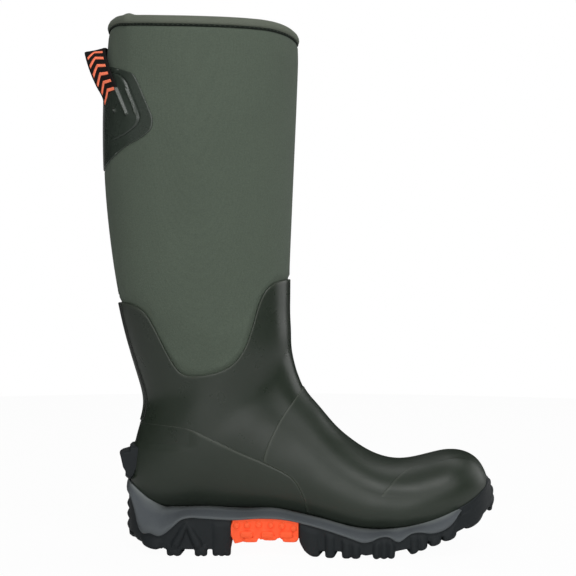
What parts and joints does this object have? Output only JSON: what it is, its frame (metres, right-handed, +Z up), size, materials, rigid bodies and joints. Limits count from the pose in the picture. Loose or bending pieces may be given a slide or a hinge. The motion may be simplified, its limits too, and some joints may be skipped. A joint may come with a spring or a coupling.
{
  "type": "insulated hunting boot",
  "caption": "Tall insulated rubber hunting boot with a soft neoprene shaft, rubber lower, lugged sole, orange arch insert and rear pull loop.",
  "frame": {"origin": "on the ground, at the centre of the flat pad of the heel tread", "axes": "+X towards the toe, +Y towards the inner side of this right foot, +Z up the leg"},
  "size_m": [0.3446, 0.1214, 0.4404],
  "materials": {
    "outsole_rubber": "matte black moulded rubber",
    "arch_rubber": "matte orange moulded rubber",
    "midsole_foam": "matte slate grey moulded foam rubber",
    "upper_rubber": "satin dark olive hand-laid rubber",
    "neoprene": "grey-green jersey-faced neoprene",
    "fleece": "brushed grey fleece",
    "binding": "smooth olive-grey stretch tape",
    "webbing": "black woven webbing with orange chevrons",
    "insole_board": "tan fibre board",
    "footbed_foam": "fabric-topped foam",
    "stiffener_board": "off-white thermoplastic sheet",
    "shank_steel": "spring steel strip"
  },
  "bodies": {
    "foot": {"heel_outsole": "outsole_rubber", "forefoot_outsole": "outsole_rubber", "heel_spur": "outsole_rubber", "arch_insert": "arch_rubber", "midsole": "midsole_foam", "shank": "shank_steel", "foot_shell": "upper_rubber", "toe_cap": "upper_rubber", "vamp_overlay": "upper_rubber", "heel_quarter": "upper_rubber", "toe_puff": "stiffener_board", "heel_counter": "stiffener_board", "bootie_foot": "neoprene", "foot_lining": "fleece", "insole_board": "insole_board", "footbed": "footbed_foam"},
    "shaft": {"ankle_gaiter": "upper_rubber", "back_stay": "upper_rubber", "bootie_shaft": "neoprene", "shaft_lining": "fleece", "back_seam_tape": "binding", "pull_patch": "upper_rubber", "collar_binding": "binding"},
    "pull_loop": {"pull_loop": "webbing"}
  },
  "joints": [
    {"name": "ankle_flex", "type": "hinge", "parent": "foot", "child": "shaft", "pos_m": [0.008, 0, 0.152], "axis": [0, 1, 0], "range_deg": [-10, 20], "stiffness_Nm_per_rad": 15},
    {"name": "pull_loop_swing", "type": "hinge", "parent": "shaft", "child": "pull_loop", "pos_m": [-0.0816, 0, 0.389], "axis": [0, -1, 0], "range_deg": [0, 140], "stiffness_Nm_per_rad": 0.02}
  ]
}
